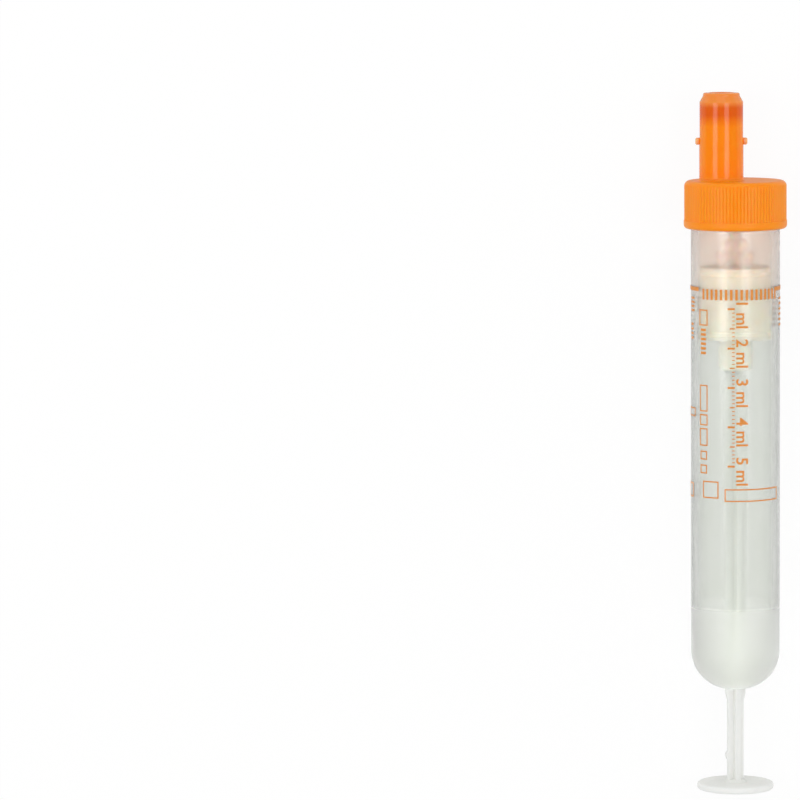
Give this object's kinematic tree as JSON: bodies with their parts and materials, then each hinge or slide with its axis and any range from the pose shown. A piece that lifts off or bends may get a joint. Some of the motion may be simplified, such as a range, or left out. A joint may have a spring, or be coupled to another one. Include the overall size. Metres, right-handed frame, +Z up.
{
  "type": "blood collection tube",
  "caption": "Syringe-type blood collection tube: round-based clear barrel, fluted screw cap with an off-centre needle nozzle, and a piston on a pull rod with a thumb disc.",
  "frame": {"origin": "under the middle of the lying tube, on the surface it rests on", "axes": "+Y along the barrel towards the screw cap, +Z up through the printed side, -X the side that the needle nozzle is offset to; the barrel leans by about one degree, cap end higher, because it rests on the cap's rim and on the round of its base"},
  "size_m": [0.0186, 0.1268, 0.0186],
  "materials": {
    "clear_pp": "gloss",
    "orange_pe": "satin",
    "stopper_rubber": "matte",
    "cream_pe": "satin",
    "natural_pp": "satin",
    "label_film": "gloss",
    "bead": "matte",
    "print_ink": "satin"
  },
  "bodies": {
    "barrel": {"tube": "clear_pp", "label_film": "label_film", "bead_1": "bead", "bead_2": "bead", "bead_3": "bead", "bead_4": "bead", "bead_5": "bead", "bead_6": "bead"},
    "cap": {"screw_cap": "orange_pe", "stopper": "stopper_rubber"},
    "plunger": {"piston": "cream_pe", "plunger_rod": "natural_pp"}
  },
  "joints": [
    {"name": "cap_lift", "type": "slide", "parent": "barrel", "child": "cap", "axis": [0, 0.9999, 0.0168], "range_m": [0, 0.012]},
    {"name": "plunger_slide", "type": "slide", "parent": "barrel", "child": "plunger", "axis": [0, -0.9999, -0.0168], "range_m": [0, 0.0565]}
  ]
}
